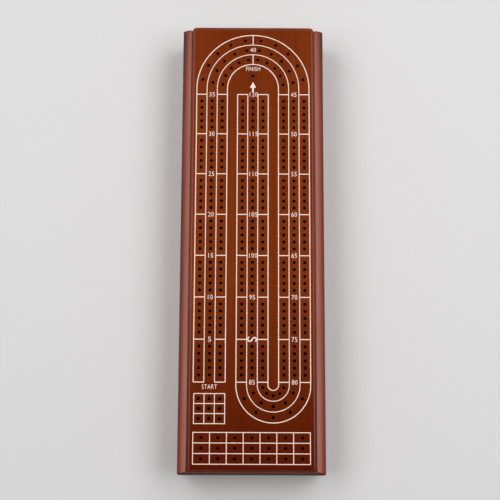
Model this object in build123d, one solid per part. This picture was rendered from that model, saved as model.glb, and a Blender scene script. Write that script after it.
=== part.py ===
from build123d import *
import math
import os

# A cribbage box: a wooden case with moulded walls under a long three-track playing deck, and a
# drawer for cards and pegs. The near end (-Y) is the START end. The drawer slides out of the far
# end (+Y). The origin is on the table, under the middle of the case. Sizes are in millimetres.

# ---- case: driving sizes ------------------------------------------------------------------
case_length = 381.0
case_width = 122.0
case_height = 50.0               # table to the playing surface

wall_thickness = 8.3
near_shoulder_width = 3.7        # the deck's end laps the rest of the near wall
shoulder_inner_drop = 6.8        # playing surface down to the shoulder, beside the deck
shoulder_outer_drop = 9.8        # playing surface down to the shoulder's outer edge
shoulder_crown = 0.35            # rise of the shoulder's curve above a straight slope
shoulder_edge_radius = 2.5
groove_width = 0.7               # relief along the wall's inner edge, beside the deck
groove_depth = 0.9
near_corner_radius = 1.6
far_corner_radius = 0.8

base_felt_thickness = 1.0
base_felt_inset = 2.0
base_felt_corner_radius = 3.0
panel_thickness = 4.0
panel_rebate = 4.4               # how far the bottom panel is let into the walls
runner_width = 6.0
runner_height = 2.0
cleat_width = 6.0
cleat_height = 5.0
corner_block_size = 9.0
corner_block_chamfer = 2.5

# ---- playing deck: driving sizes ----------------------------------------------------------
deck_thickness = 12.0
deck_side_bevel = 2.4
deck_near_bevel = 1.8
deck_far_bevel = 3.8
deck_bevel_drop = 2.2
deck_far_corner_radius = 4.0
deck_near_corner_radius = 0.8

hole_diameter = 2.75
hole_depth = 8.0
lane_width = 8.75
lanes_in_track = 3
track_count = 3                  # the tracks stand one empty lane apart
group_count = 7                  # groups of five holes along each straight lane
holes_in_group = 5
group_length = 35.0
hole_spacing = 5.85
start_line_inset = 75.1          # the case's near end to the START line

far_turn_rise = 5.15             # last cross line to the centre of the far turn
far_turn_holes = 10
far_turn_angles = (17.55, 17.9, 18.1)       # degrees between holes, outer lane first
finish_hole_rise = 16.9          # last cross line to the single finish hole
near_turn_drop = 2.2             # START line down to the centre of the near turn
near_turn_angles = (38.2, 34.0, 32.4)    # degrees between holes, inner lane first
start_grid_drop = 9.3            # START line down to the games-won grid beside the near turn
start_grid_row = 8.07
start_grid_rows = 3
low_grid_drop = 40.5             # START line down to the wide grid across the near end
low_grid_row = 8.42
low_grid_rows = 3
low_grid_columns = 7

# ---- drawer: driving sizes ----------------------------------------------------------------
slide_clearance = 0.3            # above the runners, and under the cleats
side_clearance = 0.4             # between the drawer and each side wall
front_clearance = 0.4            # above and below the drawer front
end_clearance = 0.3              # to the corner blocks when shut, and to the stop when open
drawer_travel = 290.0
drawer_front_thickness = 9.0
drawer_front_chamfer = 0.6
front_lap = 4.0                  # how far the sides and the bottom are let into the front
drawer_side_thickness = 5.0
drawer_back_thickness = 5.0
drawer_bottom_thickness = 3.0
drawer_bottom_rebate = 2.5
divider_thickness = 4.0
divider_housing = 1.5            # how far the dividers are let into the sides
divider_headroom = 0.6           # under the stop, which the dividers pass
partition_thickness = 3.0
peg_well_length = 62.0
card_well_length = 66.0          # a card is 63.5 mm wide and lies across the drawer
well_felt_thickness = 0.8
well_felt_margin = 0.3

stop_catch = 2.0                 # height of drawer back that the stop catches
stop_length = 12.0
stop_width = 30.0

knob_radius = 5.0
knob_foot_radius = 4.2
knob_foot_height = 0.8
knob_waist_radius = 2.7
knob_waist_height = 2.6
knob_head_low = 4.8              # drawer front to the rim of the knob's head
knob_head_high = 5.6
knob_projection = 8.0
knob_screw_radius = 1.5
knob_screw_head_radius = 3.0
knob_screw_head_height = 1.6
knob_screw_engagement = 4.5
knob_bore_slack = 0.5            # empty bore beyond the screw's end
screw_slot_width = 0.8
screw_slot_depth = 0.7
screw_hole_clearance = 0.05

panel_screw_radius = 1.0
panel_screw_head_radius = 1.9
panel_screw_head_height = 1.3
panel_screw_length = 11.0
panel_screws_each_side = 4
panel_screws_near = 2
panel_screw_end_inset = 40.0
near_screw_inset = 34.0          # side walls to the screws of the near wall

# ---- pegs: driving sizes ------------------------------------------------------------------
pegs_per_player = 3
peg_length = 31.0
peg_tip_radius = 1.1
peg_tip_round = 0.5
peg_shank_radius = 1.25
peg_shank_length = 20.5
peg_collar_radius = 1.9
peg_collar_length = 1.6
peg_neck_radius = 1.4
peg_head_radius = 2.3
peg_spacing = 7.0
peg_clearance = 0.05             # over the felt

# ---- places that follow from the sizes ----------------------------------------------------
far_end = case_length / 2
near_end = -case_length / 2
outer_x = case_width / 2
inner_x = outer_x - wall_thickness
near_wall_inner_y = near_end + wall_thickness
near_shoulder_inner_y = near_end + near_shoulder_width

deck_bottom = case_height - deck_thickness
panel_bottom = base_felt_thickness
panel_top = panel_bottom + panel_thickness
runner_top = panel_top + runner_height
cleat_bottom = deck_bottom - cleat_height

front_inner_y = far_end - drawer_front_thickness
strip_end_y = front_inner_y - end_clearance
drawer_outer_x = inner_x - side_clearance
drawer_inner_x = drawer_outer_x - drawer_side_thickness
drawer_low = runner_top + slide_clearance
drawer_floor = drawer_low + drawer_bottom_thickness
drawer_side_top = cleat_bottom - slide_clearance
drawer_rear_y = near_wall_inner_y + corner_block_size + end_clearance
back_inner_y = drawer_rear_y + drawer_back_thickness
front_bottom = panel_top + front_clearance
front_top = deck_bottom - front_clearance
front_middle = (front_bottom + front_top) / 2
felt_top = drawer_floor + well_felt_thickness

stop_bottom = drawer_side_top - stop_catch
divider_top = stop_bottom - divider_headroom
stop_near_y = back_inner_y + drawer_travel + end_clearance

peg_divider_y = front_inner_y - peg_well_length - divider_thickness
card_divider_y = peg_divider_y - card_well_length - divider_thickness
rear_divider_y = card_divider_y - card_well_length - divider_thickness
peg_well_width = (2 * drawer_inner_x - 2 * partition_thickness) / 3
peg_well_centres = [side * (peg_well_width + partition_thickness) for side in (-1, 0, 1)]

lane_count = track_count * lanes_in_track + (track_count - 1)
start_line_y = near_end + start_line_inset
last_line_y = start_line_y + group_count * group_length


def block(x_span, y_span, z_span):
    """A straight block between two values on each axis."""
    spans = (x_span, y_span, z_span)
    middle = [(low + high) / 2 for low, high in spans]
    return Pos(*middle) * Box(*[high - low for low, high in spans])


def both_sides(shape):
    """The shape and its mirror image across the middle of the box."""
    return [shape, mirror(shape, about=Plane.YZ)]


def group(shapes):
    """Like pieces that share one node."""
    return Compound(children=list(shapes))


# ---- case walls ---------------------------------------------------------------------------
def wall_section(deck_face, outer_face, ledge):
    """Section of a moulded wall: groove, crowned shoulder, rounded edge and straight outer face.

    ledge is how far the wall runs in under the deck, past the deck's own face.
    """
    inward = math.copysign(1, deck_face - outer_face)
    shoulder_inner_z = case_height - shoulder_inner_drop
    shoulder_outer_z = case_height - shoulder_outer_drop
    groove_edge = deck_face - inward * groove_width
    crown = ((groove_edge + outer_face) / 2, (shoulder_inner_z + shoulder_outer_z) / 2 + shoulder_crown)
    shoulder = ThreePointArc((groove_edge, shoulder_inner_z), crown, (outer_face, shoulder_outer_z))
    outer_run = Polyline((outer_face, shoulder_outer_z), (outer_face, panel_bottom))
    inner_face = deck_face + inward * ledge
    inner_points = [(outer_face, panel_bottom), (inner_face, panel_bottom)]
    if ledge > 0:
        inner_points += [(inner_face, deck_bottom), (deck_face, deck_bottom)]
    inner_points += [(deck_face, shoulder_inner_z - groove_depth), (groove_edge, shoulder_inner_z)]
    section = make_face(shoulder + outer_run + Polyline(*inner_points))
    outer_corner = section.vertices().sort_by_distance((outer_face, shoulder_outer_z, 0))[0]
    return fillet(outer_corner, shoulder_edge_radius)


def case_outline():
    """The case in plan, with its near corners rounder than its far ones."""
    plan = Rectangle(case_width, case_length)
    corners = plan.vertices().sort_by(Axis.Y)
    plan = fillet(corners[:2], near_corner_radius)
    plan = fillet(plan.vertices().sort_by(Axis.Y)[-2:], far_corner_radius)
    return extrude(plan, case_height)


def make_side_wall():
    """The wall at +X, cut square at the far end and mitred at the near end."""
    section = Plane.XZ * wall_section(inner_x, outer_x, 0)
    plan = Polygon(
        (inner_x, near_shoulder_inner_y), (outer_x, near_end), (outer_x, far_end), (inner_x, far_end),
        align=None,
    )
    wall = extrude(section, far_end, both=True) & extrude(plan, case_height)
    return wall & case_outline() - bottom_panel_blank() - panel_screw_tools()


def make_near_wall():
    """The moulded near wall. Its outer part is mitred, and its inner part stands between the sides."""
    ledge = wall_thickness - near_shoulder_width
    section = Plane.YZ * wall_section(near_shoulder_inner_y, near_end, ledge)
    plan = Polygon(
        (-outer_x, near_end), (outer_x, near_end),
        (inner_x, near_shoulder_inner_y), (inner_x, near_wall_inner_y),
        (-inner_x, near_wall_inner_y), (-inner_x, near_shoulder_inner_y),
        align=None,
    )
    wall = extrude(section, outer_x, both=True) & extrude(plan, case_height)
    return wall & case_outline() - bottom_panel_blank() - panel_screw_tools()


# ---- bottom panel and its screws ----------------------------------------------------------
def bottom_panel_blank():
    """The bottom panel before it is drilled, let into the rebates of three walls."""
    panel_x = inner_x + panel_rebate
    return block((-panel_x, panel_x), (near_wall_inner_y - panel_rebate, far_end), (panel_bottom, panel_top))


def panel_screw_places():
    """Screws along both side walls and the near wall, in the middle of the rebates."""
    side_x = inner_x + panel_rebate / 2
    first_y = near_end + panel_screw_end_inset
    last_y = far_end - panel_screw_end_inset
    step = (last_y - first_y) / (panel_screws_each_side - 1)
    along = [first_y + step * count for count in range(panel_screws_each_side)]
    near_step = 2 * (inner_x - near_screw_inset) / (panel_screws_near - 1)
    across = [-inner_x + near_screw_inset + near_step * count for count in range(panel_screws_near)]
    near_y = near_wall_inner_y - panel_rebate / 2
    places = [(side * side_x, y) for side in (-1, 1) for y in along]
    return places + [(x, near_y) for x in across]


def countersunk_screw(shank_radius, head_radius, head_height, length, point, clearance=0.0):
    """A screw that points up, its head's flat face at height 0. With a clearance it is its own hole."""
    profile = Polyline(
        (0, 0), (head_radius + clearance, 0), (shank_radius + clearance, head_height),
        (shank_radius + clearance, length - point), (0, length + clearance), close=True,
    )
    return revolve(Plane.XZ * make_face(profile), Axis.Z)


def panel_screw(clearance=0.0):
    """A wood screw with its point, or the hole for it."""
    return countersunk_screw(
        panel_screw_radius, panel_screw_head_radius, panel_screw_head_height,
        panel_screw_length, 2 * panel_screw_radius, clearance,
    )


def panel_screws(clearance=0.0):
    """Every screw of the bottom panel in its place."""
    return [Pos(x, y, panel_bottom) * panel_screw(clearance) for x, y in panel_screw_places()]


def panel_screw_tools():
    """The drilling for the bottom panel's screws."""
    return panel_screws(screw_hole_clearance)


def make_base_felt():
    """The felt that covers the underside, so that the case doesn't mark a table."""
    width = case_width - 2 * base_felt_inset
    length = case_length - 2 * base_felt_inset
    return extrude(RectangleRounded(width, length, base_felt_corner_radius), base_felt_thickness)


# ---- playing deck -------------------------------------------------------------------------
def lane_x(lane):
    """The middle of a lane, counted from 0 at the left."""
    return (lane + 0.5 - lane_count / 2) * lane_width


def straight_holes():
    """Groups of five holes in each lane of each track."""
    first = (group_length - (holes_in_group - 1) * hole_spacing) / 2
    for track in range(track_count):
        for lane in range(lanes_in_track):
            x = lane_x(track * (lanes_in_track + 1) + lane)
            for number in range(group_count):
                group_y = start_line_y + number * group_length + first
                for count in range(holes_in_group):
                    yield x, group_y + count * hole_spacing


def far_turn_places():
    """Ten holes in each lane of the half circle that joins the outer tracks at the far end."""
    centre_y = last_line_y + far_turn_rise
    for lane, step in enumerate(far_turn_angles):
        radius = (lane_count / 2 - 0.5 - lane) * lane_width
        for count in range(far_turn_holes):
            angle = math.radians(step * (count - (far_turn_holes - 1) / 2))
            yield radius * math.sin(angle), centre_y + radius * math.cos(angle)


def near_turn_places():
    """Five holes in each lane of the half circle that joins the last two tracks at the near end."""
    centre_x = (lane_x(2 * (lanes_in_track + 1)) + lane_x(2 * (lanes_in_track + 1) - 2)) / 2
    centre_y = start_line_y - near_turn_drop
    for lane, step in enumerate(near_turn_angles):
        radius = (lane + 1) * lane_width
        for count in range(holes_in_group):
            angle = math.radians(step * (count - (holes_in_group - 1) / 2))
            yield centre_x + radius * math.sin(angle), centre_y - radius * math.cos(angle)


def start_grid_places():
    """One hole in the middle of each cell of the games-won grid under the first track."""
    for lane in range(lanes_in_track):
        for row in range(start_grid_rows):
            yield lane_x(lane), start_line_y - start_grid_drop - (row + 0.5) * start_grid_row


def low_grid_places():
    """One hole in the middle of each cell of the wide grid across the near end."""
    column_width = lane_count * lane_width / low_grid_columns
    for column in range(low_grid_columns):
        for row in range(low_grid_rows):
            x = (column + 0.5 - low_grid_columns / 2) * column_width
            yield x, start_line_y - low_grid_drop - (row + 0.5) * low_grid_row


def peg_hole_places():
    """Every peg hole of the deck, the finish hole last."""
    places = [*straight_holes(), *far_turn_places(), *near_turn_places()]
    places += [*start_grid_places(), *low_grid_places()]
    return places + [(0, last_line_y + finish_hole_rise)]


def bevel_plane(edge_x, edge_y, width):
    """The plane of one bevel, through the deck's edge at (edge_x, edge_y), one of which is 0."""
    outward = Vector(edge_x, edge_y, 0).normalized()
    edge = Vector(edge_x, edge_y, case_height - deck_bevel_drop)
    return Plane(origin=edge, z_dir=outward * deck_bevel_drop + Vector(0, 0, width))


def make_playing_deck():
    """The deck board: bevelled edges, rounded corners and blind peg holes."""
    plan = Pos(0, (near_shoulder_inner_y + far_end) / 2) * Rectangle(2 * inner_x, far_end - near_shoulder_inner_y)
    plan = fillet(plan.vertices().sort_by(Axis.Y)[:2], deck_near_corner_radius)
    plan = fillet(plan.vertices().sort_by(Axis.Y)[-2:], deck_far_corner_radius)
    board = Pos(0, 0, deck_bottom) * extrude(plan, deck_thickness)
    bevels = [
        (inner_x, 0, deck_side_bevel), (-inner_x, 0, deck_side_bevel),
        (0, near_shoulder_inner_y, deck_near_bevel), (0, far_end, deck_far_bevel),
    ]
    for edge_x, edge_y, width in bevels:
        board = split(board, bisect_by=bevel_plane(edge_x, edge_y, width), keep=Keep.BOTTOM)
    hole_middle = case_height - hole_depth / 2
    drill = Cylinder(hole_diameter / 2, hole_depth)
    return board - [Pos(x, y, hole_middle) * drill for x, y in peg_hole_places()]


# ---- strips, blocks and the stop inside the case ------------------------------------------
def make_deck_cleat():
    """The strip at +X under the deck's edge, glued to the wall. It also keeps the drawer down."""
    return block((inner_x - cleat_width, inner_x), (near_wall_inner_y, strip_end_y), (cleat_bottom, deck_bottom))


def make_runner():
    """The strip at +X that the drawer slides on, glued to the bottom panel."""
    return block((inner_x - runner_width, inner_x), (near_wall_inner_y, strip_end_y), (panel_top, runner_top))


def make_corner_block():
    """The glue block at +X behind the mitre. The shut drawer stops against it."""
    size = corner_block_size
    piece = block(
        (inner_x - size, inner_x), (near_wall_inner_y, near_wall_inner_y + size), (runner_top, cleat_bottom)
    )
    free_edge = piece.edges().filter_by(Axis.Z).sort_by_distance((0, 0, runner_top))[0]
    return chamfer(free_edge, corner_block_chamfer)


def make_drawer_stop():
    """The block under the deck that the drawer's back meets when the drawer is fully open."""
    half = stop_width / 2
    return block((-half, half), (stop_near_y, stop_near_y + stop_length), (stop_bottom, deck_bottom))


# ---- drawer -------------------------------------------------------------------------------
def drawer_side_blank():
    """The side at +X before its cuts, let into the front."""
    return block((drawer_inner_x, drawer_outer_x), (drawer_rear_y, front_inner_y + front_lap),
                 (drawer_low, drawer_side_top))


def make_drawer_bottom():
    """The drawer's floor, in rebates of the sides and a groove of the front, and under the back."""
    reach = drawer_outer_x - drawer_bottom_rebate
    return block((-reach, reach), (drawer_rear_y, front_inner_y + front_lap), (drawer_low, drawer_floor))


def make_divider(low_y):
    """A cross divider that stands on the floor, housed in both sides."""
    reach = drawer_inner_x + divider_housing
    return block((-reach, reach), (low_y, low_y + divider_thickness), (drawer_floor, divider_top))


def make_drawer_side():
    """The side at +X, with its rebate for the floor and its housings for the dividers."""
    dividers = [make_divider(y) for y in (peg_divider_y, card_divider_y, rear_divider_y)]
    return drawer_side_blank() - [make_drawer_bottom(), *dividers]


def make_drawer_front():
    """The front, flush with the case's far end, with laps for the sides and the knob screw's hole."""
    front = block((-drawer_outer_x, drawer_outer_x), (front_inner_y, far_end), (front_bottom, front_top))
    face_edges = front.faces().sort_by(Axis.Y)[-1].edges()
    front = chamfer(face_edges, drawer_front_chamfer)
    return front - [*both_sides(drawer_side_blank()), make_drawer_bottom(), knob_screw(screw_hole_clearance)]


def make_drawer_back():
    """The back, between the sides and on the floor. Its top edge is what the stop catches."""
    return block((-drawer_inner_x, drawer_inner_x), (drawer_rear_y, back_inner_y), (drawer_floor, drawer_side_top))


def make_peg_partition():
    """The lengthwise partition at +X between two peg wells."""
    middle = (peg_well_width + partition_thickness) / 2
    half = partition_thickness / 2
    return block((middle - half, middle + half), (peg_divider_y + divider_thickness, front_inner_y),
                 (drawer_floor, divider_top))


def well_felt(x_low, x_high, y_low, y_high):
    """The felt on the floor of one well, a little smaller than the well."""
    gap = well_felt_margin
    return block((x_low + gap, x_high - gap), (y_low + gap, y_high - gap), (drawer_floor, felt_top))


def make_peg_well_felts():
    """One felt in each of the three peg wells."""
    half = peg_well_width / 2
    low_y = peg_divider_y + divider_thickness
    return group(well_felt(x - half, x + half, low_y, front_inner_y) for x in peg_well_centres)


def make_card_well_felts():
    """One felt in each of the two card wells."""
    low_ends = (card_divider_y + divider_thickness, rear_divider_y + divider_thickness)
    return group(well_felt(-drawer_inner_x, drawer_inner_x, y, y + card_well_length) for y in low_ends)


def make_rear_well_felt():
    """The felt of the long rear well."""
    return well_felt(-drawer_inner_x, drawer_inner_x, back_inner_y, rear_divider_y)


# ---- knob ---------------------------------------------------------------------------------
def knob_screw(clearance=0.0):
    """The screw that holds the knob, through the front from inside. With a clearance it is its hole."""
    length = drawer_front_thickness + knob_screw_engagement
    screw = countersunk_screw(
        knob_screw_radius, knob_screw_head_radius, knob_screw_head_height, length, 0, clearance
    )
    return Pos(0, front_inner_y, front_middle) * Rot(-90, 0, 0) * screw


def make_knob_screw():
    """The knob's screw with its slot."""
    slot = block(
        (-knob_screw_head_radius, knob_screw_head_radius), (front_inner_y, front_inner_y + screw_slot_depth),
        (front_middle - screw_slot_width / 2, front_middle + screw_slot_width / 2),
    )
    return knob_screw() - slot


def make_drawer_knob():
    """A turned knob: foot, hollow waist, rim and a spherical dome, bored for its screw."""
    foot = Polyline((0, 0), (knob_foot_radius, 0), (knob_foot_radius, knob_foot_height))
    waist = ThreePointArc(
        (knob_foot_radius, knob_foot_height), (knob_waist_radius, knob_waist_height),
        (knob_radius, knob_head_low),
    )
    rim = Line((knob_radius, knob_head_low), (knob_radius, knob_head_high))
    dome_rise = knob_projection - knob_head_high
    dome_radius = (knob_radius ** 2 + dome_rise ** 2) / (2 * dome_rise)
    half_angle = math.asin(knob_radius / dome_radius) / 2
    dome_middle = (
        dome_radius * math.sin(half_angle),
        knob_projection - dome_radius * (1 - math.cos(half_angle)),
    )
    dome = ThreePointArc((knob_radius, knob_head_high), dome_middle, (0, knob_projection))
    profile = make_face(foot + waist + rim + dome + Line((0, knob_projection), (0, 0)))
    bore_depth = knob_screw_engagement + knob_bore_slack
    bore = Pos(0, 0, bore_depth / 2) * Cylinder(knob_screw_radius + screw_hole_clearance, bore_depth)
    knob = revolve(Plane.XZ * profile, Axis.Z) - bore
    return Pos(0, far_end, front_middle) * Rot(-90, 0, 0) * knob


# ---- pegs ---------------------------------------------------------------------------------
def turned_peg():
    """A peg that stands on its tip: tapered shank, collar, neck and ball head."""
    collar_top = peg_shank_length + peg_collar_length
    ball_middle = peg_length - peg_head_radius
    ball_start = ball_middle - math.sqrt(peg_head_radius ** 2 - peg_neck_radius ** 2)
    shank = Polyline(
        (0, 0), (peg_tip_radius - peg_tip_round, 0), (peg_tip_radius, peg_tip_round),
        (peg_shank_radius, peg_shank_length), (peg_collar_radius, peg_shank_length),
        (peg_collar_radius, collar_top), (peg_neck_radius, collar_top), (peg_neck_radius, ball_start),
    )
    ball = ThreePointArc((peg_neck_radius, ball_start), (peg_head_radius, ball_middle), (0, peg_length))
    profile = make_face(shank + ball + Line((0, peg_length), (0, 0)))
    return revolve(Plane.XZ * profile, Axis.Z)


def make_pegs(well_x):
    """Three pegs side by side on the felt of one well, each leaning on its tip and its ball head."""
    head_lean = math.asin((peg_head_radius - peg_tip_radius) / (peg_length - peg_head_radius - peg_tip_round))
    collar_lean = math.atan((peg_collar_radius - peg_tip_radius) / (peg_shank_length - peg_tip_round))
    lean = max(head_lean, collar_lean)
    tip_height = felt_top + peg_clearance + peg_tip_radius * math.cos(lean) - peg_tip_round * math.sin(lean)
    low_y = peg_divider_y + divider_thickness + (peg_well_length - peg_length) / 2
    lying = Rot(math.degrees(lean) - 90, 0, 0) * turned_peg()
    middle = (pegs_per_player - 1) / 2
    places = [well_x + (count - middle) * peg_spacing for count in range(pegs_per_player)]
    return group(Pos(x, low_y, tip_height) * lying for x in places)


# ---- every piece, by name -----------------------------------------------------------------
right_wall, left_wall = both_sides(make_side_wall())
right_cleat, left_cleat = both_sides(make_deck_cleat())
right_runner, left_runner = both_sides(make_runner())
right_drawer_side, left_drawer_side = both_sides(make_drawer_side())
left_peg_x, middle_peg_x, right_peg_x = peg_well_centres

nodes = {
    "playing_deck": make_playing_deck(),
    "left_side_wall": left_wall,
    "right_side_wall": right_wall,
    "near_end_wall": make_near_wall(),
    "bottom_panel": bottom_panel_blank() - panel_screw_tools(),
    "bottom_panel_screws": group(panel_screws()),
    "base_felt": make_base_felt(),
    "left_deck_cleat": left_cleat,
    "right_deck_cleat": right_cleat,
    "left_runner": left_runner,
    "right_runner": right_runner,
    "corner_blocks": group(both_sides(make_corner_block())),
    "drawer_stop": make_drawer_stop(),
    "drawer_front": make_drawer_front(),
    "drawer_left_side": left_drawer_side,
    "drawer_right_side": right_drawer_side,
    "drawer_back": make_drawer_back(),
    "drawer_bottom": make_drawer_bottom(),
    "peg_divider": make_divider(peg_divider_y),
    "card_divider": make_divider(card_divider_y),
    "rear_divider": make_divider(rear_divider_y),
    "peg_partitions": group(both_sides(make_peg_partition())),
    "peg_well_felts": make_peg_well_felts(),
    "card_well_felts": make_card_well_felts(),
    "rear_well_felt": make_rear_well_felt(),
    "drawer_knob": make_drawer_knob(),
    "knob_screw": make_knob_screw(),
    "brass_pegs": make_pegs(left_peg_x),
    "steel_pegs": make_pegs(middle_peg_x),
    "black_pegs": make_pegs(right_peg_x),
}

os.makedirs("parts", exist_ok=True)
for name, shape in nodes.items():
    export_step(shape, f"parts/{name}.step")
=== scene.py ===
import math

import bmesh
import bpy
import numpy as np
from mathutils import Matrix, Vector, geometry


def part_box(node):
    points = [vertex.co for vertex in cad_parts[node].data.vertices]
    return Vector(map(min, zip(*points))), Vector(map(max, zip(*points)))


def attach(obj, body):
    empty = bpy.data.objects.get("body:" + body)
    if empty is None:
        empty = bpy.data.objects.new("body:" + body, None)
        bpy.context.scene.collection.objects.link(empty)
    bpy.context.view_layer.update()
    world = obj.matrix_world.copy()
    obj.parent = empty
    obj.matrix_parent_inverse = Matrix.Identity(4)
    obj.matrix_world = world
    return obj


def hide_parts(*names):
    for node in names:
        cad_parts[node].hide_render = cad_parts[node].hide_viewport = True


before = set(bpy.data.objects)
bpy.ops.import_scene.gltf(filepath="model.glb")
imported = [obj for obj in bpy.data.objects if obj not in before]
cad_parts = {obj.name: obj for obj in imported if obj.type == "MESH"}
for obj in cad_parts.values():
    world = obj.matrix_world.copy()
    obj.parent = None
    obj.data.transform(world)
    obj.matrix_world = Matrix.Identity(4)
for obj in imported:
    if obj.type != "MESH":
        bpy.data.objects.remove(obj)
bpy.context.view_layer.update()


# ---- the view -----------------------------------------------------------------------------
# The photograph looks down on the box from above its near end, tilted a little towards the far
# end, from far enough away that the long sides stay nearly parallel.
MM = 0.001
view_place = (-5.42 * MM, -144.1 * MM, 874.46 * MM)
view_turn = (9.524, -0.277, 0.229)
view_frame = 36.0
view_lens = 72.0

camera = bpy.data.objects.new("view", bpy.data.cameras.new("view"))
camera.data.sensor_width = view_frame
camera.data.lens = view_lens
camera.data.clip_start = 0.01
camera.data.clip_end = 20.0
camera.location = view_place
camera.rotation_euler = [math.radians(turn) for turn in view_turn]
bpy.context.scene.collection.objects.link(camera)
bpy.context.scene.camera = camera
bpy.context.scene.view_settings.view_transform = "Standard"


# ---- playing deck -------------------------------------------------------------------------
# One long board of fine-grained mahogany with bevelled edges, stained red-brown and lacquered to
# a satin sheen. Its peg holes are drilled blind, and it is glued down between the case's walls.
deck_low, deck_high = (np.array(corner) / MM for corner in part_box("playing_deck"))
deck_joint = 0.05                # hairline gap to the walls
deck_foot = 38.0
foot_bevel = 0.3
deck_top = 49.95                 # the print stands on it
edge_rise = 2.1                  # height of the rounded edge, and its widths in plan
deck_side_bevel = 2.4
deck_near_bevel = 1.8
deck_far_bevel = 3.4
near_corner = (0.8, 0.5)         # radius of a corner at the foot, and how much less it is on top
far_corner = (4.0, 2.9)
corner_steps = 7

hole_radius = 1.375
hole_mouth = 0.16
hole_floor = 42.0
hole_sides = 16

lane = 8.75                      # width of one lane
group = 35.0                     # length of five holes
hole_pitch = 5.85
groups = 7
far_steps = (17.55, 17.9, 18.1)  # degrees between the far turn's holes, outer lane first
near_steps = (38.2, 34.0, 32.4)  # degrees between the near turn's holes, inner lane first
start_line = -115.4
last_line = start_line + groups * group
far_turn = last_line + 5.15      # centre of the far turn
near_turn = start_line - 2.2     # centre of the near turn
finish_hole = last_line + 16.9
games_grid_top = start_line - 9.3
games_grid_row = 8.07
low_grid_top = start_line - 40.5
low_grid_row = 8.42
low_grid_columns = 7

# The deck's stain. Its last tone is a darker one, painted in as shade where the deck lies away from
# the light.
stained_mahogany = {
    "dark": (107, 39, 10), "light": (137, 59, 19), "pore": (58, 18, 3), "shade_tone": (80, 14, 0),
}
# Painted shade on the deck: a darker tone stands in for the shade towards the near end; towards the
# far end the deck darkens a little.
near_shade_span = (-35 * MM, -190 * MM, 0, 0.88)      # from and to along the deck, and the share there
far_darkening_span = (90 * MM, 190 * MM, 0, 0.18)
weld = 0.002 * MM                # points nearer to each other than this are one
flat_turn = 1.0                  # faces that turn by fewer degrees than this are one
sharp_turn = 40.0                # an edge that turns by more degrees than this stays sharp


def linear(colour):
    """A colour of 0 to 255 as linear light: the sRGB curve undone, with alpha 1."""
    level = np.array(colour, float) / 255
    low = level / 12.92
    high = ((level + 0.055) / 1.055) ** 2.4
    return (*np.where(level <= 0.04045, low, high).tolist(), 1.0)


def put(tree, kind, inputs=None, **settings):
    """Adds a shader node. An input takes a value or another node's output."""
    made = tree.nodes.new("ShaderNode" + kind)
    for key, value in settings.items():
        setattr(made, key, value)
    for key, value in (inputs or {}).items():
        if isinstance(value, bpy.types.NodeSocket):
            tree.links.new(value, made.inputs[key])
        else:
            made.inputs[key].default_value = value
    return made


def new_material(name):
    """A material with one Principled shader, its node tree and that shader."""
    material = bpy.data.materials.new(name)
    material.use_nodes = True
    tree = material.node_tree
    return material, tree, tree.nodes["Principled BSDF"]


def grain_place(tree, along, shift):
    """Object coordinates turned so that the grain runs along the pattern's Y, and moved."""
    turn = {"x": (0, 0, math.pi / 2), "y": (0, 0, 0), "z": (math.pi / 2, 0, 0)}[along]
    place = put(tree, "TexCoord").outputs["Object"]
    inputs = {"Vector": place, "Location": shift, "Rotation": turn}
    return put(tree, "Mapping", inputs).outputs["Vector"]


def streaks(tree, place, across, lengthwise, detail, roughness=0.55):
    """Noise drawn out along the grain: across and lengthwise are waves in a metre."""
    stretched = put(tree, "Mapping", {"Vector": place, "Scale": (across, lengthwise, across)})
    inputs = {"Vector": stretched.outputs["Vector"], "Scale": 1.0, "Detail": detail,
              "Roughness": roughness}
    return put(tree, "TexNoise", inputs).outputs["Fac"]


def level(tree, value, low, high, to_low=0.0, to_high=1.0):
    """The value with low to high spread over to_low to to_high, and held at both ends."""
    inputs = {"Value": value, "From Min": low, "From Max": high, "To Min": to_low,
              "To Max": to_high}
    return put(tree, "MapRange", inputs).outputs["Result"]


def blend(tree, share, first, second, mode="MIX"):
    """Mixes two colours by a share of 0 to 1."""
    mixed = put(tree, "Mix", data_type="RGBA", blend_type=mode)
    for socket, value in (("Factor_Float", share), ("A_Color", first), ("B_Color", second)):
        target = next(s for s in mixed.inputs if s.identifier == socket)
        if isinstance(value, bpy.types.NodeSocket):
            tree.links.new(value, target)
        else:
            target.default_value = value
    return next(s for s in mixed.outputs if s.identifier == "Result_Color")


def axis_place(tree, axis):
    """Where a point lies along one axis, in metres."""
    place = put(tree, "TexCoord").outputs["Object"]
    return put(tree, "SeparateXYZ", {"Vector": place}).outputs[axis]


def joined(tree, operation, first, second):
    """Two values joined by an operation of the Math node."""
    return put(tree, "Math", {0: first, 1: second}, operation=operation).outputs["Value"]


def weighed(tree, value, weight, base):
    """The value times a weight, plus a base."""
    inputs = {0: value, 1: weight, 2: base}
    return put(tree, "Math", inputs, operation="MULTIPLY_ADD").outputs["Value"]


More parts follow.
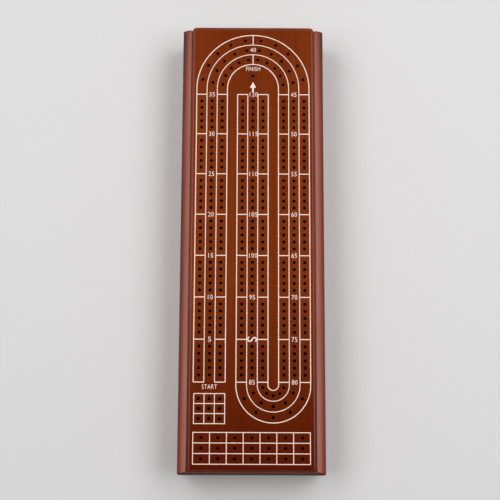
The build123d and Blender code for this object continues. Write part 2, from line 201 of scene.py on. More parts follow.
def wood(name, tones, along="y", shift=(0, 0, 0), satin=0.36, lacquer=0.0, pores=1.0, figure=1.0,
         worn=None, painted_shade=None, polish=0.5):
    """Wood with soft figure, fine fibres, short dark pores and, where worn is a colour, rubbed
    edges. A share function given for painted shade says how much of the darker shade tone is
    painted in at each place."""
    fibre_share, hair_share, pore_share, worn_share = 0.45, 0.25, 0.55, 0.32
    material, tree, shader = new_material(name)
    place = grain_place(tree, along, shift)
    broad = level(tree, streaks(tree, place, 55, 2.2, 3), 0.3, 0.7)
    fibre = level(tree, streaks(tree, place, 650, 9, 4), 0.25, 0.75)
    hair = level(tree, streaks(tree, place, 2600, 30, 3), 0.3, 0.7)
    tone = joined(tree, "MULTIPLY", broad, figure)
    tone = weighed(tree, fibre, fibre_share, tone)
    tone = weighed(tree, hair, hair_share, tone)
    tone = level(tree, tone, 0.15, figure + 0.55)
    colour = blend(tree, tone, linear(tones["dark"]), linear(tones["light"]))
    pore = level(tree, streaks(tree, place, 3300, 170, 2, 0.5), 0.6, 0.72)
    filled = joined(tree, "MULTIPLY", pore, pore_share * pores)
    colour = blend(tree, filled, colour, linear(tones["pore"]))
    # Painted shade: the darker tone mixed in by the given share.
    if painted_shade:
        colour = blend(tree, painted_shade(tree), colour, linear(tones["shade_tone"]))
    if worn:
        rounded = put(tree, "Bevel", {"Radius": 0.5 * MM}, samples=4).outputs["Normal"]
        flat = put(tree, "NewGeometry").outputs["Normal"]
        facing = put(tree, "VectorMath", {0: rounded, 1: flat}, operation="DOT_PRODUCT")
        edge = level(tree, facing.outputs["Value"], 0.995, 0.86)
        patchy = level(tree, streaks(tree, place, 160, 60, 3), 0.35, 0.65)
        rubbed = level(tree, joined(tree, "MULTIPLY", edge, patchy), 0, 1, 0, worn_share)
        colour = blend(tree, rubbed, colour, linear(worn))
    tree.links.new(colour, shader.inputs["Base Color"])
    smudge = level(tree, streaks(tree, place, 22, 14, 3), 0.3, 0.7, satin - 0.05, satin + 0.07)
    tree.links.new(smudge, shader.inputs["Roughness"])
    height = weighed(tree, pore, -1.0, fibre)
    bump = put(tree, "Bump", {"Height": height, "Strength": 0.25, "Distance": 0.03 * MM})
    tree.links.new(bump.outputs["Normal"], shader.inputs["Normal"])
    shader.inputs["Specular IOR Level"].default_value = polish
    shader.inputs["Coat Weight"].default_value = lacquer
    shader.inputs["Coat Roughness"].default_value = 0.12
    return material


def clean(mesh, join_flats=False):
    """Merges a mesh's doubles, joins its flat faces if asked to, and turns its faces outwards."""
    work = bmesh.new()
    work.from_mesh(mesh)
    bmesh.ops.remove_doubles(work, verts=work.verts, dist=weld)
    if join_flats:
        bmesh.ops.dissolve_limit(work, angle_limit=math.radians(flat_turn), verts=work.verts,
                                 edges=work.edges)
    bmesh.ops.recalc_face_normals(work, faces=work.faces)
    work.to_mesh(mesh)
    work.free()


def finish_piece(name, mesh, body, material, sharp=sharp_turn):
    """An object with smooth shading between its sharp edges, a material and a body to ride on."""
    mesh.shade_smooth()
    mesh.set_sharp_from_angle(angle=math.radians(sharp))
    mesh.materials.clear()
    mesh.materials.append(material)
    piece = bpy.data.objects.new(name, mesh)
    bpy.context.scene.collection.objects.link(piece)
    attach(piece, body)
    return piece


def make_piece(name, points, faces, body, material, slot, sharp=sharp_turn):
    """A closed piece from points in millimetres, whose shading stays flat on large faces."""
    mesh = bpy.data.meshes.new(name)
    mesh.from_pydata((points * MM).tolist(), [], faces)
    clean(mesh)
    piece = finish_piece(name, mesh, body, material, sharp)
    even = piece.modifiers.new("even", "WEIGHTED_NORMAL")
    even.keep_sharp = True
    return piece


def ring_faces(rings, sides):
    """Quads between rings of equal length: each joins two neighbours of one ring to the same two
    of the next."""
    start = np.arange(rings - 1)[:, None] * sides + np.arange(sides)
    turned = np.roll(start, -1, axis=1)
    return np.stack([start, turned, turned + sides, start + sides], -1).reshape(-1, 4).tolist()


def shell(rings):
    """Points and faces of rings that are joined in order, with the first one closed."""
    sides = len(rings[0])
    return np.concatenate(rings), [list(range(sides)), *ring_faces(len(rings), sides)]


def gather(parts):
    """Several sets of points and faces as one."""
    points, faces, count = [], [], 0
    for part_points, part_faces in parts:
        points.append(part_points)
        faces += [[count + corner for corner in face] for face in part_faces]
        count += len(part_points)
    return np.concatenate(points), faces


def raised(plan, height):
    """Points in plan, all at one height."""
    return np.column_stack([plan, np.full(len(plan), height)])


def rounded_plan(low, high, near_radius, far_radius):
    """A rectangle in plan whose corners are quarter circles: centre plus radius times cosine and
    sine."""
    corners = ((1, 1, far_radius), (-1, 1, far_radius), (-1, -1, near_radius), (1, -1, near_radius))
    runs = []
    for number, (right, far, radius) in enumerate(corners):
        corner = np.array([high[0] if right > 0 else low[0], high[1] if far > 0 else low[1]])
        centre = corner - radius * np.array([right, far])
        turn = math.pi / 2 * (number + np.linspace(0, 1, corner_steps))
        runs.append(centre + radius * np.stack([np.cos(turn), np.sin(turn)], -1))
    return np.concatenate(runs)


def cut_flat(outlines, keep, inner=()):
    """Triangles over overlapping outlines in plan, with extra points inside. keep says if one
    stays, from the outlines over it."""
    points = [tuple(point) for outline in outlines for point in outline] + list(inner)
    ends = np.cumsum([len(outline) for outline in outlines])
    spans = [list(range(end - len(outline), end)) for end, outline in zip(ends, outlines)]
    made = geometry.delaunay_2d_cdt(points, [], spans, 0, 1e-5, True)
    faces = [list(face) for face, over in zip(made[2], made[5]) if keep(over)]
    return np.array([tuple(point) for point in made[0]]), faces


def lane_x(position):
    """How far from the middle a place stands that is counted in lanes from the leftmost line."""
    return (position - 5.5) * lane


def hole_places():
    """Every peg hole: groups of five along nine lanes, two turns, two grids and the finish hole.
    A turn's holes stand at its centre plus the reach times sine and cosine."""
    first = (group - 4 * hole_pitch) / 2
    steps = np.arange(groups)[:, None] * group + np.arange(5) * hole_pitch
    along = start_line + first + steps.ravel()
    lanes = [lane_x(4 * track + line + 0.5) for track in range(3) for line in range(3)]
    straight = [(x, y) for x in lanes for y in along]
    far, near = [], []
    for ring, step in enumerate(far_steps):
        swing = np.radians(step * (np.arange(10) - 4.5))
        reach = (5 - ring) * lane
        far += [(reach * math.sin(a), far_turn + reach * math.cos(a)) for a in swing]
    middle = lane_x(7.5)
    for ring, step in enumerate(near_steps):
        swing = np.radians(step * (np.arange(5) - 2))
        reach = (ring + 1) * lane
        near += [(middle + reach * math.sin(a), near_turn - reach * math.cos(a)) for a in swing]
    games = [(lane_x(column + 0.5), games_grid_top - (row + 0.5) * games_grid_row)
             for column in range(3) for row in range(3)]
    width = 11 * lane / low_grid_columns
    low = [((column - 3) * width, low_grid_top - (row + 0.5) * low_grid_row)
           for column in range(low_grid_columns) for row in range(3)]
    return np.array([*straight, *far, *near, *games, *low, (0.0, finish_hole)])


# The deck's outline shrinks as it rises: each row is a share of the rounding's widths and a
# height. Over the rounding the share is one minus the cosine of the turn, and the rise is its sine.
edge_turn = np.radians([6, 18, 30, 41, 51, 60, 68, 75, 82, 90])
edge_rows = zip(1 - np.cos(edge_turn), deck_top - edge_rise * (1 - np.sin(edge_turn)))
deck_rows = (
    (0.12, deck_foot), (0.0, deck_foot + foot_bevel), (0.0, deck_top - edge_rise), *edge_rows,
)
deck_rings = []
for share, height in deck_rows:
    low = deck_low[:2] + [deck_joint + share * deck_side_bevel, share * deck_near_bevel]
    high = deck_high[:2] - [deck_joint + share * deck_side_bevel, share * deck_far_bevel]
    near_radius, far_radius = (radius - less * share for radius, less in (near_corner, far_corner))
    deck_rings.append(raised(rounded_plan(low, high, near_radius, far_radius), height))

hole_turn = np.linspace(0, 2 * math.pi, hole_sides, endpoint=False)
hole_circle = np.stack([np.cos(hole_turn), np.sin(hole_turn)], -1)
holes = hole_places()
mouths = [place + (hole_radius + hole_mouth) * hole_circle for place in holes]
top_outlines = [deck_rings[-1][:, :2], *mouths]
top_points, top_faces = cut_flat(top_outlines, lambda over: list(over) == [0])

hole_rows = (
    (hole_radius + hole_mouth, deck_top),
    (hole_radius, deck_top - hole_mouth),
    (hole_radius, hole_floor),
)
hole_faces = ring_faces(len(hole_rows), hole_sides)
hole_faces.append([hole_sides * (len(hole_rows) - 1) + side for side in range(hole_sides)])
deck_parts = [shell(deck_rings), (raised(top_points, deck_top), top_faces)]
for place in holes:
    rings = [raised(place + radius * hole_circle, height) for radius, height in hole_rows]
    deck_parts.append((np.concatenate(rings), hole_faces))


def deck_painted_shade(tree):
    """Painted shade on the deck: the darker tone's share grows towards the near end, where less
    light falls, and it also grows a little towards the far end."""
    along = axis_place(tree, "Y")
    near = level(tree, along, *near_shade_span)
    return joined(tree, "ADD", near, level(tree, along, *far_darkening_span))


deck_wood = wood("deck_mahogany", stained_mahogany, shift=(0.013, 0.2, 0.07), satin=0.42,
                 lacquer=0.5, figure=0.45, worn=(150, 78, 40), painted_shade=deck_painted_shade, polish=0.0)
deck = make_piece("deck_board", *gather(deck_parts), "case", deck_wood, "deck_wood")
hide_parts("playing_deck")


# ---- printed tracks -----------------------------------------------------------------------
# Warm white ink, screen-printed over the lacquer: lane lines, a line across the outer lanes at
# every fifth hole, the two turns, the two grids, the numbers, START and FINISH, and an arrow.
line_width = 0.76                # the outer lines of a track and its cross lines
fine_width = 0.66                # the lines inside a track and the grids
print_top = 50.0
print_foot = 49.9
ink_tones = (255, 229, 215), (224, 170, 146)     # full, and thin over the pores
arc_steps = 48


def line(x_span, y_span, width=line_width):
    """A printed line from its span on each axis, as a rectangle in plan: the axis on which it has
    no length gets half the line's width to each side."""
    (left, right), (near, far) = sorted(x_span), sorted(y_span)
    across = width / 2 if left == right else 0
    along = width / 2 if near == far else 0
    return np.array([(left - across, near - along), (right + across, near - along),
                     (right + across, far + along), (left - across, far + along)])


def arc(centre_x, centre_y, radius, first, last, width):
    """A printed arc as a band in plan: out along radius plus half a line, and back along radius
    minus it."""
    turn = np.radians(np.linspace(first, last, arc_steps + 1))
    ray = np.stack([np.cos(turn), np.sin(turn)], -1)
    centre = np.array([centre_x, centre_y])
    half = width / 2
    return np.concatenate([centre + (radius + half) * ray, centre + (radius - half) * ray[::-1]])


def ink(name, points, faces):
    """A closed film of ink: flat triangles at its top and foot, joined along their open edges."""
    count = len(points)
    solid = np.concatenate([raised(points, height) for height in (print_top, print_foot)])
    under = [[corner + count for corner in reversed(face)] for face in faces]
    edges = dict.fromkeys((a, b) for face in faces for a, b in zip(face, face[1:] + face[:1]))
    rim = [[b, a, a + count, b + count] for a, b in edges if (b, a) not in edges]
    return make_piece(name, solid, faces + under + rim, "case", ink_white, "deck_wood")


def printed_ink(name):
    """Matt warm white ink, a little thin where the wood's pores show through."""
    material, tree, shader = new_material(name)
    place = grain_place(tree, "y", (0, 0, 0))
    thin = level(tree, streaks(tree, place, 2400, 300, 3), 0.55, 0.8, 0.0, 0.2)
    colour = blend(tree, thin, *(linear(tone) for tone in ink_tones))
    tree.links.new(colour, shader.inputs["Base Color"])
    shader.inputs["Roughness"].default_value = 0.45
    return material


ink_white = printed_ink("printed_ink")

lines = []
widths = (line_width, fine_width, fine_width, line_width)
for left in (0, 4, 8):
    foot = start_line if left == 0 else near_turn
    head = last_line if left == 4 else far_turn
    lines += [line((lane_x(left + n),) * 2, (foot, head), widths[n]) for n in range(4)]
    for cross in range(groups + 1):
        y = start_line + cross * group
        lines += [line((lane_x(left + n), lane_x(left + n + 1)), (y, y)) for n in (0, 2)]
lines += [arc(0, far_turn, (n + 2.5) * lane, 0, 180, widths[n]) for n in range(4)]
lines += [line((0, 0), (far_turn + radius * lane, far_turn + (radius + 1) * lane))
          for radius in (2.5, 4.5)]
lines += [arc(lane_x(7.5), near_turn, (n + 0.5) * lane, 180, 360, widths[n]) for n in range(4)]
for left, right, columns, top, row in (
    (lane_x(0.08), lane_x(2.975), 3, games_grid_top, games_grid_row),
    (lane_x(0.04), lane_x(10.94), low_grid_columns, low_grid_top, low_grid_row),
):
    for y in top - row * np.arange(4):
        lines.append(line((left - fine_width / 2, right + fine_width / 2), (y, y), fine_width))
    for x in np.linspace(left, right, columns + 1):
        lines.append(line((x, x), (top, top - 3 * row), fine_width))
ink("track_lines", *cut_flat(lines, bool))

arrow_tip = last_line + 11.2
arrow_head = 5.1
arrow_foot = arrow_tip - 9.0
arrow_half = 2.65
shaft_half = 0.75
letter_gap = 1.12
letter_steps = 3
barbs = arrow_tip - arrow_head
arrow = [(0, arrow_tip), (-arrow_half, barbs), (-shaft_half, barbs), (-shaft_half, arrow_foot),
         (shaft_half, arrow_foot), (shaft_half, barbs), (arrow_half, barbs)]
ink("finish_arrow", *cut_flat([arrow], bool))


def lettering(text, x, y, width, height, turn=0):
    """Flat letters as triangles in plan, drawn to a width and a height with their middle at x, y.
    A turn lays them along the deck."""
    curve = bpy.data.curves.new("letters", "FONT")
    curve.body = text
    curve.space_character = letter_gap
    curve.resolution_u = letter_steps
    holder = bpy.data.objects.new("letters", curve)
    bpy.context.scene.collection.objects.link(holder)
    drawn = holder.evaluated_get(bpy.context.evaluated_depsgraph_get())
    flat = bpy.data.meshes.new_from_object(drawn)
    bpy.data.objects.remove(holder)
    bpy.data.curves.remove(curve)
    points = np.zeros(len(flat.vertices) * 3)
    flat.vertices.foreach_get("co", points)
    points = points.reshape(-1, 3)[:, :2]
    faces = [list(face.vertices) for face in flat.polygons]
    bpy.data.meshes.remove(flat)
    low, high = points.min(0), points.max(0)
    size = (height, width) if turn else (width, height)
    points = (points - (low + high) / 2) / (high - low) * size
    if turn:
        points = np.stack([points[:, 1], -points[:, 0]], -1)
    return points + (x, y), faces


digit_height = 3.9
word_height = 3.7
# A number's width and its shift to the right, by its count of digits or by itself.
number_fit = {1: (2.5, 0), 2: (4.7, 0), 3: (6.9, 0.7), "10": (4.1, 0.25), "15": (4.1, 0.25)}
numbers = [(str(5 * n), 1.5, n) for n in range(1, 8)]
numbers += [(str(45 + 5 * n), 9.5, 7 - n) for n in range(8)]
numbers += [("85", 5.5, 0)] + [(str(85 + 5 * n), 5.5, n) for n in range(2, 8)]
numerals = []
for text, position, cross in numbers:
    width, shift = number_fit.get(text, number_fit[len(text)])
    place = (lane_x(position) + shift, start_line + cross * group)
    numerals.append(lettering(text, *place, width, digit_height))
numerals.append(lettering("40", 0, far_turn + 4 * lane, number_fit[2][0], digit_height))
ink("hole_numbers", *gather(numerals))
ink("start_word", *lettering("START", lane_x(1.53), start_line - 3.75, 12.4, word_height))
ink("finish_word", *lettering("FINISH", 0.1, last_line + 2.63 * lane, 12.2, word_height))
ink("turned_letter", *lettering("S", lane_x(5.5), start_line + group, 8.0, 4.4, turn=1))


# ---- case walls ---------------------------------------------------------------------------
# Three mahogany mouldings with a narrow groove beside the deck, a crowned shoulder that falls
# outwards and a rounded outer edge. They are mitred at the near corners and glued.
inner_x = 52.7
outer_x = 61.0
near_inner = -186.8
near_outer = -190.5
far_y = 190.5
corner_radius = 1.6
mitre_turn = math.radians(-54.4)     # where the mitre meets the round corner, from its centre
corner_stations = 16
side_run = (180.0, -180.0, 25)   # a side's straight part: first and last station, and their count
near_stations = 11
mitre_start = -182.0             # where the inner edge of a side starts to lead into the mitre
mitre_length = 4.8
near_start = 50.0                # and the same for the near wall
near_length = 2.7
side_lead = 6.9                  # straight outer edge from there to the round corner
near_lead = 9.4
last_step = 0.985                # share of the lead at the last station before the mitre
mitre_ease = 0.16                # how much a section shrinks at the mitre
end_cut = (0, 0.1, 0.3, 0.6, 1.0, 1.5)           # from the cut far end
end_ease = (1.5, 0.96, 0.6, 0.3, 0.085, 0)       # how much a section shrinks there
shoulder_top = 43.2
shoulder_drop = 3.0
shoulder_crown = 0.35
shoulder_points = 12
groove = 0.7
edge_radius = 2.5
edge_points = 7
cove = [(0, 42.3), (0.22, 42.36), (0.42, 42.62), (0.52, 42.95), (0.6, 43.13)]
wall_foot = 1.0
foot_ease = 0.4
rebate_top = 5.0
rebate_width = 4.4


def wall_profile(width):
    """Section of a moulding as distance from the deck and height: a cove, a slope plus a crown of
    four times share times its rest, the circle of the edge that touches it, and the outer face."""
    share = np.linspace(0, 1, 400)
    distance = groove + share * (width - groove)
    height = shoulder_top - shoulder_drop * share + 4 * shoulder_crown * share * (1 - share)
    slope = np.arctan(-np.gradient(height, distance))
    touch = int(np.argmax(distance - edge_radius * np.sin(slope) >= width - edge_radius))
    centre = (width - edge_radius, height[touch] - edge_radius * np.cos(slope[touch]))
    pick = np.linspace(0, touch, shoulder_points).astype(int)
    shoulder = np.stack([distance[pick], height[pick]], -1)
    turn = np.linspace(math.pi / 2 - slope[touch], 0, edge_points)[1:]
    edge = np.array(centre) + edge_radius * np.stack([np.cos(turn), np.sin(turn)], -1)
    foot = [(width, wall_foot + foot_ease), (width - foot_ease, wall_foot)]
    return np.concatenate([cove, shoulder, edge, foot])


side_profile = wall_profile(outer_x - inner_x)
near_profile = wall_profile(near_inner - near_outer)
side_share = side_profile * (1 / (outer_x - inner_x), 1)
near_share = near_profile * (1 / (near_inner - near_outer), 1)
mitre_share = (side_share + near_share) / 2
rebate = rebate_width / (outer_x - inner_x)
bottom_steps = np.array([(rebate, wall_foot), (rebate, rebate_top), (0, rebate_top)])


def wall_stations(own_share, inner, outer, joint, tail):
    """One row of points for each station, whose section lies between its inner and outer point in
    plan. Near the mitre it turns into the one both mouldings share, and at a cut end it shrinks a
    little."""
    rows = []
    for start, end, near_joint, ease in zip(inner, outer, joint, tail):
        section = own_share * (1 - near_joint) + mitre_share * near_joint
        section = np.concatenate([section, bottom_steps])
        middle = np.array([0.5, 0.5 * (shoulder_top + wall_foot)])
        reach = np.array([np.linalg.norm(end - start) / 2, 0.5 * (shoulder_top - wall_foot)])
        section = middle + (section - middle) * (1 - ease / reach)
        plan = start + section[:, :1] * (end - start)
        rows.append(np.column_stack([plan, section[:, 1]]))
    return rows


def sweep(rows):
    """Points and faces of a closed section carried along its stations, with both ends capped."""
    sides = len(rows[0])
    faces = ring_faces(len(rows), sides)
    last = sides * (len(rows) - 1)
    faces += [list(range(sides)), [last + n for n in range(sides)]]
    return np.concatenate(rows), faces


def corner_run(share, lead, start, swing_to, back):
    """Plan of the outer corner by share of its length: straight along a face for its lead, then
    round the corner from a start angle towards the mitre."""
    run = share * (lead + corner_radius * abs(mitre_turn - start))
    turn = start + swing_to * np.clip(run - lead, 0, None) / corner_radius
    centre = np.array([outer_x - corner_radius, near_outer + corner_radius])
    bend = centre + corner_radius * np.stack([np.cos(turn), np.sin(turn)], -1)
    return bend + np.clip(lead - run, 0, None)[:, None] * back


def side_wall(sign):
    """One side moulding: cut square at the far end, and led into the mitre at the near end."""
    y = np.concatenate([far_y - np.array(end_cut), np.linspace(*side_run)])
    inner = np.column_stack([np.full(len(y), inner_x), y])
    outer = np.column_stack([np.full(len(y), outer_x), y])
    share = np.linspace(0.05, 1, corner_stations)
    share[-2] = last_step
    led = np.column_stack([np.full(len(share), inner_x), mitre_start - mitre_length * share])
    inner = np.concatenate([inner, led])
    outer = np.concatenate([outer, corner_run(share, side_lead, 0.0, -1, (0, 1))])
    joint = np.concatenate([np.zeros(len(y)), share ** 3])
    tail = np.zeros(len(inner))
    tail[:len(end_ease)] = end_ease
    tail[-1] = mitre_ease
    rows = wall_stations(side_share, inner, outer, joint, tail)
    return sweep([row * (sign, 1, 1) for row in rows])


def near_wall():
    """The near moulding, led into both mitres."""
    share = np.linspace(0, 1, corner_stations)
    share[-2] = last_step
    bend = corner_run(share, near_lead, -math.pi / 2, 1, (-1, 0))
    led = np.column_stack([near_start + near_length * share, np.full(len(share), near_inner)])
    middle = np.linspace(-near_start, near_start, near_stations)[1:-1]
    straight = np.zeros(len(middle))
    inner = [(led * (-1, 1))[::-1], np.column_stack([middle, straight + near_inner]), led]
    outer = [(bend * (-1, 1))[::-1], np.column_stack([middle, straight + near_outer]), bend]
    inner, outer = np.concatenate(inner), np.concatenate(outer)
    joint = np.concatenate([share[::-1] ** 3, straight, share ** 3])
    tail = np.zeros(len(inner))
    tail[[0, -1]] = mitre_ease
    return sweep(wall_stations(near_share, inner, outer, joint, tail))


# The side walls' tones are the deck's mahogany made lighter: painted highlight on the shoulders.
# The near wall's tones are darker: painted shade on the near end. The last tone of each is the
# darker one painted in as shade on the outer edges.
lit_case_mahogany = {
    "dark": (142, 50, 12), "light": (172, 70, 26), "pore": (80, 24, 8), "shade_tone": (46, 10, 4),
}
shaded_near_mahogany = {
    "dark": (116, 42, 14), "light": (142, 60, 26), "pore": (66, 20, 8), "shade_tone": (30, 6, 3),
}
rim_share = 0.95                                 # the painted shade's share on the outer edge
rim_rise = (120 * MM, 188 * MM, 0, 0.9 * MM)     # from and to along a side, and its rise there
near_edge_shade = (-188 * MM, -189.5 * MM, 0, 0.93)    # from and to, and the share there
face_fade = (39.2 * MM, 34.5 * MM)


def rim_painted_shade(start, end, face):
    """Painted shade on a wall: the darker tone's share grows from start to end down the outer
    edge, sooner at the far end, and towards the near edge. It falls to the face's share below."""
    def share(tree):
        along = axis_place(tree, "Y")
        height = axis_place(tree, "Z")
        lowered = joined(tree, "SUBTRACT", height, level(tree, along, *rim_rise))
        rim = level(tree, lowered, start, end, 0, rim_share)
        rim = joined(tree, "MAXIMUM", rim, level(tree, along, *near_edge_shade))
        return joined(tree, "MULTIPLY", rim, level(tree, height, *face_fade, 1, face))
    return share


side_rim_shade = rim_painted_shade(42.7 * MM, 39.6 * MM, 0.4)
near_rim_shade = rim_painted_shade(42.8 * MM, 42.1 * MM, 0.2)
case_wood = wood("lit_case_mahogany", lit_case_mahogany, shift=(0.31, 0.05, 0.02), satin=0.3,
                 painted_shade=side_rim_shade, figure=0.9)
near_wood = wood("near_wall_mahogany", shaded_near_mahogany, along="x", shift=(0.17, 0.4, 0.11),
                 satin=0.3, painted_shade=near_rim_shade, figure=0.9)
for name, sign in (("left", -1), ("right", 1)):
    piece = make_piece(f"{name}_moulding", *side_wall(sign), "case", case_wood, "case_wood",
                       sharp=50)
    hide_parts(f"{name}_side_wall")


def block(low, high):
    """Points and faces of a straight block."""
    corners = np.array([(x, y, z) for z in (low[2], high[2]) for y in (low[1], high[1])
                        for x in (low[0], high[0])])
    faces = [[0, 2, 3, 1], [4, 5, 7, 6], [0, 1, 5, 4], [2, 6, 7, 3], [0, 4, 6, 2], [1, 3, 7, 5]]
    return corners, faces


backing_face = -182.2             # the near wall's thicker part, under the deck
backing = block((-inner_x, near_inner, rebate_top), (inner_x, backing_face, deck_foot))
piece = make_piece("near_moulding", *gather([near_wall(), backing]), "case", near_wood,
                   "case_wood", sharp=50)
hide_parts("near_end_wall")


# ---- bottom panel and its screws ----------------------------------------------------------
# A thin birch plywood panel let into rebates in the three walls, held by ten small zinc-plated
# wood screws from below. The felt covers it.
panel_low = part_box("bottom_panel")[0]
panel_thick = 4 * MM
veneer_tones = (196, 160, 116), (219, 188, 146)
edge_tones = (150, 110, 72), (176, 136, 94)
zinc_colour = (182, 184, 188)


def plywood(name, bottom, thickness, plies, shift=(0, 0, 0)):
    """Birch plywood: faces of pale veneer, and plies that alternate light and dark at the edges."""
    material, tree, shader = new_material(name)
    place = grain_place(tree, "y", shift)
    face = level(tree, streaks(tree, place, 240, 5, 4), 0.3, 0.7)
    colour = blend(tree, face, *(linear(tone) for tone in veneer_tones))
    depth = level(tree, axis_place(tree, "Z"), bottom, bottom + thickness, 0, plies)
    band = level(tree, joined(tree, "PINGPONG", depth, 2.0), 0.85, 1.15)
    grain = level(tree, streaks(tree, place, 900, 900, 3), 0.4, 0.7)
    end = blend(tree, grain, *(linear(tone) for tone in edge_tones))
    colour = blend(tree, band, colour, end)
    tree.links.new(colour, shader.inputs["Base Color"])
    shader.inputs["Roughness"].default_value = 0.62
    bump = put(tree, "Bump", {"Height": face, "Strength": 0.2, "Distance": 0.05 * MM})
    tree.links.new(bump.outputs["Normal"], shader.inputs["Normal"])
    return material


def dress(node, material):
    """Gives a CAD node that keeps its own shape a better material."""
    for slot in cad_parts[node].material_slots:
        slot.material = material


def plated_steel(name, colour, rough):
    """Plated steel with a faint brushed unevenness."""
    material, tree, shader = new_material(name)
    place = grain_place(tree, "y", (0, 0, 0))
    fine = level(tree, streaks(tree, place, 1800, 1800, 3), 0.3, 0.7, rough - 0.06, rough + 0.1)
    tree.links.new(fine, shader.inputs["Roughness"])
    tone = blend(tree, level(tree, streaks(tree, place, 500, 500, 2), 0.3, 0.7), linear(colour),
                 linear([min(255, 1.08 * c) for c in colour]))
    tree.links.new(tone, shader.inputs["Base Color"])
    shader.inputs["Metallic"].default_value = 1.0
    return material


dress("bottom_panel", plywood("panel_plywood", panel_low.z, panel_thick, plies=5))
zinc = plated_steel("zinc_plate", zinc_colour, 0.34)
dress("bottom_panel_screws", zinc)


# ---- strips and blocks inside the case ----------------------------------------------------
# Plain pale strips glued inside: cleats under the deck's edges that keep the drawer down, runners
# that carry it, two corner blocks behind the mitres, and the stop that catches the drawer's back.
strip_tones = {"dark": (183, 143, 96), "light": (217, 182, 133), "pore": (150, 108, 66)}
strip_wood = wood("strip_softwood", strip_tones, shift=(0.5, 0.1, 0.2), satin=0.58, pores=0.4)


def eased(node, name, body, material, ease=0.4):
    """A copy of a CAD node, its doubles merged, its flat faces joined and its edges softened."""
    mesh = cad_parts[node].data.copy()
    mesh.name = name
    clean(mesh, join_flats=True)
    piece = finish_piece(name, mesh, body, material)
    soften = piece.modifiers.new("soften", "BEVEL")
    soften.width = ease * MM
    soften.segments = 2
    soften.limit_method = "ANGLE"
    soften.angle_limit = math.radians(sharp_turn)
    soften.harden_normals = True
    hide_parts(node)


for node in ("left_deck_cleat", "right_deck_cleat", "left_runner", "right_runner",
             "corner_blocks", "drawer_stop"):
    eased(node, node + "_strip", "case", strip_wood)


# ---- base felt ----------------------------------------------------------------------------
# One sheet of short green wool felt, cut a little smaller than the case and glued under it, so
# that the box doesn't mark a table.
felt_green = (24, 84, 52)
nap = 0.06                       # depth of the nap
nap_waves = 6
nap_step = 1.5                   # least distance between the points that carry it
nap_columns = 60                 # and the most of them across a sheet
nap_fade = 1.2                   # width over which the nap fades towards a sheet's edge
felt_edge = 0.3                  # width and height of a sheet's soft upper edge


def felt(name, colour):
    """Short wool felt: matted fibres in two scales, a soft sheen and a furry bump."""
    material, tree, shader = new_material(name)
    place = grain_place(tree, "y", (0, 0, 0))
    fibre = streaks(tree, place, 2600, 1500, 5, 0.7)
    clump = streaks(tree, place, 240, 200, 4)
    tone = level(tree, weighed(tree, fibre, 0.7, clump), 0.6, 1.1)
    dark = linear([0.62 * c for c in colour])
    light = linear([1.25 * c for c in colour])
    tree.links.new(blend(tree, tone, dark, light), shader.inputs["Base Color"])
    bump = put(tree, "Bump", {"Height": tone, "Strength": 0.7, "Distance": 0.2 * MM})
    tree.links.new(bump.outputs["Normal"], shader.inputs["Normal"])
    shader.inputs["Roughness"].default_value = 0.95
    shader.inputs["Sheen Weight"].default_value = 0.35
    shader.inputs["Sheen Roughness"].default_value = 0.5
    return material


def felt_sheet(name, low, high, radius, material, body, seed):
    """A cut sheet lying flat: a rounded plan whose top is its thickness minus a small random nap,
    with soft upper edges. The nap is a sum of sines with seeded phases."""
    low, high = np.asarray(low, float), np.asarray(high, float)
    side = low[:2], high[:2]
    rings = []
    rows = (0, low[2]), (0, high[2] - felt_edge), (0.08, high[2] - 0.12), (0.25, high[2] - nap)
    for inset, height in rows:
        plan = rounded_plan(side[0] + inset, side[1] - inset, radius, radius)
        rings.append(raised(plan, height))
    step = max(nap_step, (high[0] - low[0]) / nap_columns)
    gap = 1.0 + radius
    inside = [(x, y) for x in np.arange(low[0] + gap, high[0] - gap, step)
              for y in np.arange(low[1] + gap, high[1] - gap, step)]
    top, faces = cut_flat([rings[-1][:, :2]], bool, inside)
    phases = np.random.default_rng(seed).uniform(0, 2 * math.pi, nap_waves)
    x, y = top.T
    wave = sum(np.sin(x * 0.7 * (n + 1) + y * 0.5 * (nap_waves - 1 - n) + phase)
               for n, phase in enumerate(phases)) / nap_waves
    edge = np.minimum(top - side[0], side[1] - top).min(1)
    fade = np.clip((edge - felt_edge) / nap_fade, 0, 1)
    lift = nap * (wave - 1) * fade - nap * (edge < nap_fade)
    height = high[2] + np.clip(lift, -2 * nap, 0)
    height[edge < felt_edge] = high[2] - nap
    whole = gather([shell(rings), (np.column_stack([top, height]), faces)])
    return make_piece(name, *whole, body, material, "green_felt", sharp=60)


case_felt = felt("base_felt_green", felt_green)
felt_low, felt_high = (np.array(corner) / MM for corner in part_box("base_felt"))
base = felt_sheet("base_felt_sheet", felt_low, felt_high, 3.0, case_felt, "case", 3)
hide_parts("base_felt")


# ---- drawer -------------------------------------------------------------------------------
# A thin-walled box of pale hardwood behind a mahogany front: sides let into the front, the back
# between them, cross dividers housed in the sides, and two partitions that make three peg wells.
front_wood = wood("front_mahogany", stained_mahogany, along="x", shift=(0.22, 0.31, 0.4),
                  satin=0.3, figure=0.8, worn=(160, 92, 60))
eased("drawer_front", "drawer_front_board", "drawer", front_wood, ease=0.5)

hardwood_tones = {"dark": (188, 146, 99), "light": (221, 184, 137), "pore": (146, 104, 66)}
long_hardwood = wood("drawer_side_hardwood", hardwood_tones, shift=(0.4, 0.2, 0.6),
                     satin=0.46, pores=0.6)
cross_hardwood = wood("drawer_cross_hardwood", hardwood_tones, along="x", shift=(0.9, 0.3, 0.1),
                      satin=0.46, pores=0.6)
for node in ("drawer_left_side", "drawer_right_side", "peg_partitions"):
    eased(node, node + "_board", "drawer", long_hardwood)
for node in ("drawer_back", "peg_divider", "card_divider", "rear_divider"):
    eased(node, node + "_board", "drawer", cross_hardwood)
floor_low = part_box("drawer_bottom")[0]
floor_thick = 3 * MM
dress("drawer_bottom",
      plywood("drawer_plywood", floor_low.z, floor_thick, plies=3, shift=(0.3, 0.7, 0)))


